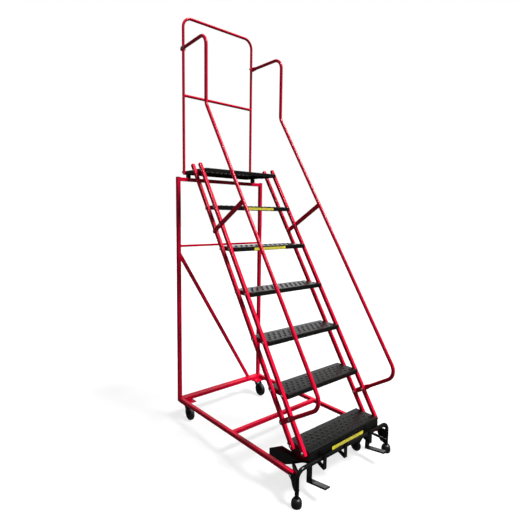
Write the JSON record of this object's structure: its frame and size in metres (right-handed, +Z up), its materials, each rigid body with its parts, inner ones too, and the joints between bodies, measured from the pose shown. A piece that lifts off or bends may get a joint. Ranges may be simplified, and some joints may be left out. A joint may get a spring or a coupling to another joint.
{
  "type": "rolling warehouse ladder",
  "caption": "Free-standing rolling ladder: tubular frame, sheet steel steps, guarded platform, handrails, swivel casters, rubber feet and a pedal lock.",
  "frame": {"origin": "on the floor under the centre of the bounding box", "axes": "+Z up; the climbing side faces -Y; +X is to the right of a person who stands in front of the ladder and faces it"},
  "size_m": [0.852, 1.373, 2.7985],
  "materials": {
    "red_enamel": "gloss",
    "black_enamel": "satin",
    "step_black": "satin",
    "zinc": "satin",
    "foot_rubber": "matte",
    "pad_rubber": "matte",
    "tyre_rubber": "matte",
    "core_plastic": "matte",
    "cap_plastic": "matte"
  },
  "bodies": {
    "ladder_frame": {"side_rail_left": "red_enamel", "side_rail_right": "red_enamel", "rear_rail": "red_enamel", "middle_rail": "red_enamel", "rear_post_left": "red_enamel", "rear_post_right": "red_enamel", "rear_top_bar": "red_enamel", "rear_bottom_bar": "red_enamel", "rear_middle_bar": "red_enamel", "rear_diagonal": "red_enamel", "corner_plate_left": "red_enamel", "corner_plate_right": "red_enamel", "stringer_left_front": "red_enamel", "stringer_left_rear": "red_enamel", "stringer_right_front": "red_enamel", "stringer_right_rear": "red_enamel", "stringer_caps": "red_enamel", "guard_hoop": "red_enamel", "guard_middle_rail": "red_enamel", "handrail_left": "red_enamel", "handrail_right": "red_enamel", "handrail_brace_left": "red_enamel", "handrail_brace_right": "red_enamel", "leg_frame": "black_enamel", "leg_gussets": "black_enamel", "leg_struts": "black_enamel", "side_plate_left": "black_enamel", "side_plate_right": "black_enamel", "front_panel": "black_enamel", "shaft_hangers": "black_enamel", "platform_standoffs": "black_enamel", "tread_1": "step_black", "tread_2": "step_black", "tread_3": "step_black", "tread_4": "step_black", "tread_5": "step_black", "tread_6": "step_black", "platform_deck": "step_black", "step_bolts": "zinc", "handrail_bolts": "zinc", "guard_bolts": "zinc", "base_bolts": "zinc", "caster_plate_left": "zinc", "caster_plate_right": "zinc", "foot_left": "foot_rubber", "foot_right": "foot_rubber", "post_caps": "cap_plastic"},
    "lock_rocker": {"lock_shaft": "zinc", "pedal_left": "black_enamel", "pedal_right": "black_enamel", "pedal_pads": "pad_rubber", "front_fork": "black_enamel"},
    "front_wheel": {"front_tyre": "tyre_rubber", "front_wheel_core": "core_plastic"},
    "caster_swivel_left": {"caster_fork_left": "black_enamel"},
    "caster_wheel_left": {"caster_tyre_left": "tyre_rubber", "caster_wheel_core_left": "core_plastic"},
    "caster_swivel_right": {"caster_fork_right": "black_enamel"},
    "caster_wheel_right": {"caster_tyre_right": "tyre_rubber", "caster_wheel_core_right": "core_plastic"}
  },
  "joints": [
    {"name": "floor_lock_tilt", "type": "hinge", "parent": "ladder_frame", "child": "lock_rocker", "pos_m": [0, -0.533, 0.168], "axis": [1, 0, 0], "range_deg": [0, 12]},
    {"name": "front_wheel_roll", "type": "hinge", "parent": "lock_rocker", "child": "front_wheel", "pos_m": [0.259, -0.474, 0.038], "axis": [1, 0, 0], "continuous": true},
    {"name": "caster_swivel_left", "type": "hinge", "parent": "ladder_frame", "child": "caster_swivel_left", "pos_m": [-0.33, 0.57, 0.108], "axis": [0, 0, 1], "continuous": true},
    {"name": "caster_roll_left", "type": "hinge", "parent": "caster_swivel_left", "child": "caster_wheel_left", "pos_m": [-0.33314, 0.53414, 0.05], "axis": [0.9962, -0.0872, 0], "continuous": true},
    {"name": "caster_swivel_right", "type": "hinge", "parent": "ladder_frame", "child": "caster_swivel_right", "pos_m": [0.33, 0.57, 0.108], "axis": [0, 0, 1], "continuous": true},
    {"name": "caster_roll_right", "type": "hinge", "parent": "caster_swivel_right", "child": "caster_wheel_right", "pos_m": [0.32874, 0.53402, 0.05], "axis": [0.9994, -0.0349, 0], "continuous": true}
  ]
}
